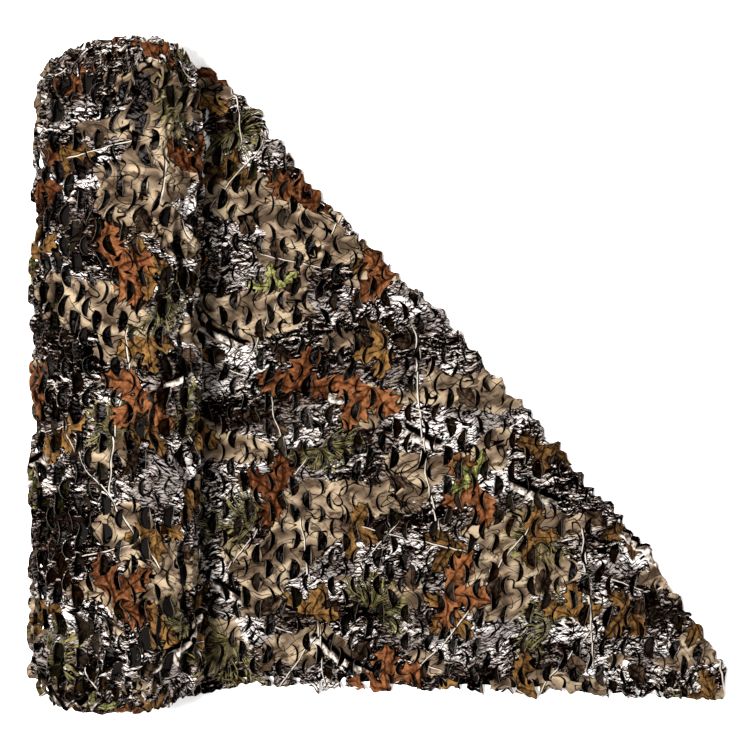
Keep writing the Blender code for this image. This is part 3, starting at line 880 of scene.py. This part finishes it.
def makeCore(shape=coreShape):
    # the turns under the outer ones, as one closed body
    around, steps = shape["around"], shape["alongSteps"]
    outline = [(1.0, -1.0 + 2.0 * step / steps) for step in range(steps + 1)]
    outline = [*((radius, -1.0) for radius in shape["endRings"]), *outline,
               *((radius, 1.0) for radius in shape["endRings"][::-1])]
    mesh = bmesh.new()
    loops = [[mesh.verts.new((radius, 2.0 * math.pi * i / around, height)) for i in range(around)]
             for radius, height in outline]
    plan = mesh.loops.layers.uv.new("clothPlan")
    for first, second in zip(loops, loops[1:]):
        for i in range(around):
            j = (i + 1) % around
            face = mesh.faces.new((first[i], first[j], second[j], second[i]))
            face.smooth = True
            for corner in face.loops:
                radius, turn, height = corner.vert.co
                corner[plan].uv = (-rollShape["halfHeight"] * turn - 2.0 * radius, height * shape["halfLength"])
    mesh.faces.new(loops[0][::-1])
    mesh.faces.new(loops[-1])
    for vertex in mesh.verts:
        radius, turn, height = vertex.co
        lump = float(ripple(turn * 0.19, height * 0.71, shape["lumpSize"], 35)) if radius > 0.99 else 0.0
        share = radius * (1.0 - (shape["inset"] - shape["lump"] * lump) / rollShape["halfWidth"])
        x, z = sectionPlace(np.array(share), np.array(turn))
        vertex.co = (float(x), height * shape["halfLength"], max(shape["lowest"], float(z)))
    bmesh.ops.recalc_face_normals(mesh, faces=mesh.faces)
    core = bpy.data.objects.new("net_core", bpy.data.meshes.new("net_core"))
    mesh.to_mesh(core.data)
    mesh.free()
    # painted shade: the inner turns are painted nearly black, as if in deep shade
    core.data.materials.append(polyester["paintedDeepShadePolyester"])
    bpy.context.scene.collection.objects.link(core)
    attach(core, "root")
    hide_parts("net_roll")


endShape = {
    "outerRadius": 0.168, "innerRadius": 0.020, "pitch": 0.0130, "depth": 0.075, "startTurn": 0.4,
    "edgeRipples": ((0.007, 0.33, 43), (0.008, 0.06, 46), (0.004, 0.025, 48)),  # depth, size and seed
    "lump": 0.0025, "lumpSize": 0.16, "firstLength": 1.622, "arcSteps": 8, "lowest": 0.0015,
    "curl": 1.10, "atEdge": 0.25, "edgeZone": (0.004, 0.028),
}


def makeEnd(name, side, shape=endShape):
    # one strip of net, wound like a watch spring, for the edges of the inner turns
    half = rollShape["clothHalfWidth"]
    end = 0 if side > 0 else 1
    turns = (shape["outerRadius"] - shape["innerRadius"]) / shape["pitch"]
    turn = np.linspace(0.0, 2.0 * math.pi * turns, 3000)
    radius = shape["outerRadius"] - shape["pitch"] * turn / (2.0 * math.pi)
    length = np.concatenate([[0.0], np.cumsum(0.5 * (radius[1:] + radius[:-1]) * np.diff(turn))])

    def layOnEnd(u, v):
        here = np.interp(u - shape["firstLength"], length, turn)
        lump = shape["lump"] * ripple(u, v, shape["lumpSize"], 41 + int(side))
        share = (np.interp(here, turn, radius) + lump) / rollShape["halfWidth"]
        x, z = sectionPlace(share, here + shape["startTurn"])
        edge = rollShape["endRim"][end] + rollShape["endDome"][end] * np.sqrt(1.0 - share ** 2)
        for depth, size, seed in shape["edgeRipples"]:
            edge = edge + depth * ripple(u, 0.0 * v, size, seed + int(side))
        y = side * (edge - (half - abs(v))) + rollShape["endTilt"] * x * (side > 0)
        return np.stack([x, y, z], axis=1)

    low, high = (half - shape["depth"], half) if side > 0 else (-half, -half + shape["depth"])
    first, last = shape["firstLength"], shape["firstLength"] + float(length[-1])
    box = (first, last, low, high)
    flat, corners, onTongue = flatNet(box, boxTrims(*box), shape["arcSteps"])
    calm = shape["curl"] * eased(half - abs(flat[:, 1]), shape["atEdge"], shape["edgeZone"])
    along, out = curl(flat, onTongue, calm, 1.0)
    places = spread(layOnEnd, flat, along, out, side)
    places[:, 2] = np.maximum(places[:, 2], shape["lowest"])
    piece = clothObject(name, places, corners, flat, side, openCloth)
    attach(piece, "root")
    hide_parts("net_roll")


# the loose end

looseShape = {
    "rootX": 0.0566,
    "halfWidth": 0.765,
    "skew": -0.040,
    "tipX": 1.504,
    "foldStart": (0.205, 0.757),
    "foldEnd": (1.500, -0.727),
    "foldRadius": 0.0100,
    "foldBow": 0.042,
    "foldBowLean": 1.5,
    "foldBowReach": 0.45,
    # where, as a share of the fold's length, it stands out further, and how far
    "foldLobes": ((0.0, 0.012), (0.085, 0.027), (0.435, 0.022), (0.60, 0.008), (0.80, 0.023), (0.96, 0.003)),
    "foldLobeWidth": 0.070,
    "cornerSag": 0.045,  # the lower edge hangs out beside the roll
    "cornerReach": (0.150, 0.085),
    "edgeSag": 0.006,  # and, less, further along
    "edgeSagReach": (0.42, 0.16),
    "sagDepth": 0.25,
    "edgeLift": 0.004,  # and draws up a little towards the tip
    "edgeLiftZones": ((0.40, 0.85), (-0.60, -0.76)),
    "tuckX": 0.100,
    "rise": (0.080, 0.170),  # the top layer climbs over the flap between these, beside the roll
    "offRoll": (0.080, 0.220),
    "underHeight": 0.0016,
    "flapInset": 0.010,  # the flap ends this far inside the cloth's lower edge
    "offFlap": 0.4,  # past it the top layer sinks to this share of its height
    "offFlapZone": (-0.03, 0.03),
    "edgeZone": 0.06,
    "edgeScallop": (0.008, 0.060),  # depth and size
    "edgeTatter": (0.006, 0.022),
    "wave": (0.004, 0.30),
    "warp": (0.004, 0.22),
    "waver": (0.009, 0.24),
}
foldStart = np.array(looseShape["foldStart"])
foldEnd = np.array(looseShape["foldEnd"])
foldLength = float(np.linalg.norm(foldEnd - foldStart))
foldAlong = (foldEnd - foldStart) / foldLength
foldInward = np.array([foldAlong[1], -foldAlong[0]])
foldHalfArc = looseShape["foldRadius"] * math.pi / 2.0
foldTakeUp = foldHalfArc - looseShape["foldRadius"]


def onPlane(u, v, shape=looseShape):
    return np.stack([u, v + shape["skew"] * (u - shape["rootX"])], axis=1)


def acrossFold(place):
    return (place - foldStart) @ foldInward


def mirrored(place):
    return place - 2.0 * np.multiply.outer(acrossFold(place), foldInward)


def lineMeeting(a, b, c, d):
    along, other = b - a, d - c
    start = c - a
    share = (start[0] * other[1] - start[1] * other[0]) / (along[0] * other[1] - along[1] * other[0])
    return a + share * along


def flapOutline(shape=looseShape):
    # the part that is turned under, as it lies below, going round
    root, tip = shape["rootX"], shape["tipX"]
    high, low = shape["halfWidth"], shape["flapInset"] - shape["halfWidth"]
    corner = [onPlane(np.array([u]), np.array([v]))[0]
              for u, v in ((root, high), (tip, high), (tip, low), (root, low))]
    tuck = [np.array([shape["tuckX"], y]) for y in (0.0, 1.0)]
    top = lineMeeting(foldStart, foldEnd, corner[0], corner[1])
    free = lineMeeting(foldStart, foldEnd, corner[2], corner[3])
    rootSide = lineMeeting(mirrored(corner[0]), mirrored(corner[1]), *tuck)
    freeSide = lineMeeting(corner[2], corner[3], *tuck)
    return [top, rootSide, freeSide, free]


flap = flapOutline()


def distanceInside(place, outline):
    least = np.full(len(place), np.inf)
    for start, end in zip(outline, outline[1:] + outline[:1]):
        side = (end - start) / np.linalg.norm(end - start)
        offset = place - start
        least = np.minimum(least, side[0] * offset[:, 1] - side[1] * offset[:, 0])
    return least


def looseEdges(u, v, shape=looseShape):
    # the flat cloth pulled a little out of true, with its uneven and sagging edges
    def uneven(key, u, v, seed):
        return shape[key][0] * ripple(u, v, shape[key][1], seed)

    off = smoothStep(*shape["offRoll"], u)
    u = u + off * uneven("warp", u, v, 51) + off * uneven("waver", 0.0 * u, v, 58)
    v = v + off * uneven("warp", u, v, 52)
    edge = smoothStep(shape["edgeZone"], 0.0, shape["halfWidth"] - abs(v))
    v = v + off * edge * uneven("edgeScallop", u, 0.0 * v, 54)
    v = v + off * edge * uneven("edgeTatter", u, 0.0 * v, 56)
    nearEdge = smoothStep(shape["sagDepth"], 0.0, v + shape["halfWidth"])
    corner, sag = [np.exp(-((u - middle) / reach) ** 2) * nearEdge
                   for middle, reach in (shape["cornerReach"], shape["edgeSagReach"])]
    tipward, downward = shape["edgeLiftZones"]
    lift = shape["edgeLift"] * smoothStep(*tipward, u) * smoothStep(*downward, v)
    return u, v - shape["cornerSag"] * corner - shape["edgeSag"] * sag + lift


def layLoose(u, v, shape=looseShape):
    # from the flat cloth to its place: on top, round the fold, or turned under
    plane = onPlane(*looseEdges(u, v))
    radius, low = shape["foldRadius"], shape["underHeight"]
    across = acrossFold(plane)
    along = (plane - foldStart) @ foldAlong
    turn = np.clip(across / radius, -math.pi / 2.0, math.pi / 2.0)
    inward = foldTakeUp + radius * (1.0 - np.cos(turn)) + np.maximum(0.0, abs(across) - foldHalfArc)
    place = foldStart + np.multiply.outer(along, foldAlong) + np.multiply.outer(inward, foldInward)
    off = smoothStep(*shape["offRoll"], place[:, 0])

    onFlap = eased(distanceInside(place, flap), shape["offFlap"], shape["offFlapZone"])
    upper = low + 2.0 * radius * onFlap * smoothStep(*shape["rise"], place[:, 0])
    offFold = smoothStep(foldHalfArc, foldHalfArc + shape["edgeZone"], across)
    wave, waveSize = shape["wave"]
    swell = wave * (0.5 + 0.5 * ripple(place[:, 0], place[:, 1], waveSize, 53))
    height = np.where(across > foldHalfArc, upper + offFold * off * swell, low + radius * (1.0 + np.sin(turn)))

    share = np.clip(along / foldLength, 0.0, 1.0)
    bow = shape["foldBow"] * np.sin(math.pi * share ** shape["foldBowLean"])
    for middle, standing in shape["foldLobes"]:
        bow = bow + standing * np.exp(-((share - middle) / shape["foldLobeWidth"]) ** 2)
    shift = bow * smoothStep(shape["foldBowReach"], 0.0, inward) * off
    beside = smoothStep(shape["edgeZone"], 0.0, inward)
    for key, seed in (("edgeScallop", 55), ("edgeTatter", 57)):
        depth, size = shape[key]
        shift = shift + depth * beside * ripple(along, 0.0 * along, size, seed)
    place = place - np.multiply.outer(shift, foldInward)
    return np.concatenate([place, height[:, None]], axis=1)


def foldTrim(distance, away):
    # the line at this distance across the fold, in the flat cloth's own coordinates
    skew, root = looseShape["skew"], looseShape["rootX"]
    point = foldStart + foldInward * distance
    direction = np.array([foldInward[0] + skew * foldInward[1], foldInward[1]]) * away
    return (float(point[0]), float(point[1] - skew * (point[0] - root))), tuple(direction.tolist())


def mirrorTrim(first, second):
    # the line that ends up through these two places once the cloth is turned under
    skew, root = looseShape["skew"], looseShape["rootX"]
    ends = [p - np.array([0.0, skew * (p[0] - root)]) for p in (mirrored(first), mirrored(second))]
    direction = ends[1] - ends[0]
    away = np.array([direction[1], -direction[0]])
    inside = 0.5 * (foldStart + foldEnd) - foldInward * 0.1
    if away @ (inside - ends[0]) > 0:
        away = -away
    return tuple(ends[0].tolist()), tuple(away.tolist())


looseCurl = {
    "besideRoll": (0.05, (0.075, 0.17)),  # the share of the curl that is left, and the zone where it comes back
    "edges": ((0.30, (0.10, 0.02)), (0.70, (0.035, 0.010))),  # how much more there is towards the edges
    "tip": (0.022, 0.060),
    "overFloor": (0.03, 0.35, 0.30),  # what is left over bare floor: beside the roll, further along, from where
    "flapEdge": (0.000, 0.022),
    "flapBesideRoll": (0.05, (0.24, 0.34)),
    "folded": (0.10, (-0.012, 0.012)),
    "lowest": 0.0012,
}


def finishLoose(name, box, trims, settings, curling=looseCurl):
    flat, corners, onTongue = flatNet(box, trims, settings["arcSteps"])
    place = layLoose(flat[:, 0], flat[:, 1])[:, :2]
    fold = acrossFold(onPlane(flat[:, 0], flat[:, 1]))
    edge = np.minimum(looseShape["halfWidth"] - abs(flat[:, 1]), abs(fold))
    calm = settings["curl"] * eased(place[:, 0], *curling["besideRoll"])
    calm *= 1.0 + sum(more * smoothStep(*zone, edge) for more, zone in curling["edges"])
    calm *= smoothStep(*[looseShape["tipX"] - inset for inset in curling["tip"]], flat[:, 0])
    nearRoll, further, start = curling["overFloor"]
    bare = np.where(place[:, 0] < start, nearRoll, further)
    calm *= eased(distanceInside(place, flap), bare, curling["flapEdge"])
    if settings["under"]:
        calm *= eased(place[:, 0], *curling["flapBesideRoll"])
    calm *= eased(fold, *curling["folded"])
    along, out = curl(flat, onTongue, calm, 1.0)
    places = spread(layLoose, flat, along, out, 1.0)
    places[:, 2] = np.maximum(places[:, 2], curling["lowest"])
    piece = clothObject(name, places, corners, flat, 1.0, settings["materials"])
    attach(piece, "root")
    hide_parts("loose_end")


looseTop = {"arcSteps": 12, "curl": 1.20, "materials": openCloth, "under": False, "pastFold": 0.004}
# the flap's materials are painted shade, darkened as if under the top layer
looseFlap = {"arcSteps": 8, "curl": 0.32, "materials": paintedShadeCloth, "under": True, "end": 1.500}


def makeLooseTop(settings=looseTop):
    half, tip = looseShape["halfWidth"], looseShape["tipX"]
    box = (0.0, tip, -half, half)
    tipCorner = ((tip - 0.008, -half), (0.8, -0.6))
    trims = [*boxTrims(*box), tipCorner, foldTrim(-foldHalfArc - settings["pastFold"], -1.0)]
    finishLoose("net_top", box, trims, settings)


def makeLooseFlap(settings=looseFlap):
    half = looseShape["halfWidth"]
    end = [np.array([settings["end"], y]) for y in (-1.0, 0.0)]
    trims = [((0.0, half), (0.0, 1.0)), foldTrim(-foldHalfArc - looseTop["pastFold"], 1.0),
             mirrorTrim(flap[1], flap[2]), mirrorTrim(flap[2], flap[3]), mirrorTrim(*end)]
    finishLoose("net_flap", (0.0, 1.80, -half, half), trims, settings)


makeCore()
for name, settings in wrapHalves.items():
    makeWrap(name, settings)
makeEnd("net_end_top", 1.0)
makeEnd("net_end_bottom", -1.0)
print("roll made")
makeLooseTop()
makeLooseFlap()
print("loose end made")


# the room

room = {
    "floorColour": "#fbfaf9", "floorSize": 16.0, "floorRoughness": 0.9,
    "skyColour": "#ffffff", "skyStrength": 1.12,
    "lights": {
        "key": {"place": (-0.52, 0.10, 4.15), "size": 0.5, "power": 440.0},
        "fill": {"place": (2.4, 0.2, 2.8), "size": 2.0, "power": 5.0},
    },
    "lightTarget": (0.5, 0.0, 0.1),
    "cameraPlace": (0.6206, 0.0, 4.0),  # it looks straight down
    "sensorWidth": 36.0,
    "focalLength": 1584.0 / 750.0,  # in picture widths
}

bpy.ops.mesh.primitive_plane_add(size=room["floorSize"])
floor = bpy.context.object
floor.name = "floor"
floorPaint = bpy.data.materials.new("floorPaint")
floorPaint.use_nodes = True
floorShader = floorPaint.node_tree.nodes["Principled BSDF"]
floorShader.inputs["Base Color"].default_value = linear(room["floorColour"])
floorShader.inputs["Roughness"].default_value = room["floorRoughness"]
floor.data.materials.append(floorPaint)

for name, settings in room["lights"].items():
    light = bpy.data.lights.new(name, "AREA")
    light.size = settings["size"]
    light.energy = settings["power"]
    lamp = bpy.data.objects.new(name, light)
    lamp.location = settings["place"]
    aim = Vector(room["lightTarget"]) - Vector(settings["place"])
    lamp.rotation_euler = aim.to_track_quat("-Z", "Y").to_euler()
    bpy.context.scene.collection.objects.link(lamp)

sky = bpy.data.worlds.new("sky")
sky.use_nodes = True
sky.node_tree.nodes["Background"].inputs["Color"].default_value = linear(room["skyColour"])
sky.node_tree.nodes["Background"].inputs["Strength"].default_value = room["skyStrength"]
bpy.context.scene.world = sky

camera = bpy.data.objects.new("camera", bpy.data.cameras.new("camera"))
camera.data.sensor_width = room["sensorWidth"]
camera.data.lens = room["focalLength"] * room["sensorWidth"]
camera.location = room["cameraPlace"]
bpy.context.scene.collection.objects.link(camera)
bpy.context.scene.camera = camera
bpy.context.scene.view_settings.view_transform = "Standard"
bpy.context.scene.view_settings.look = "None"
print("room made")
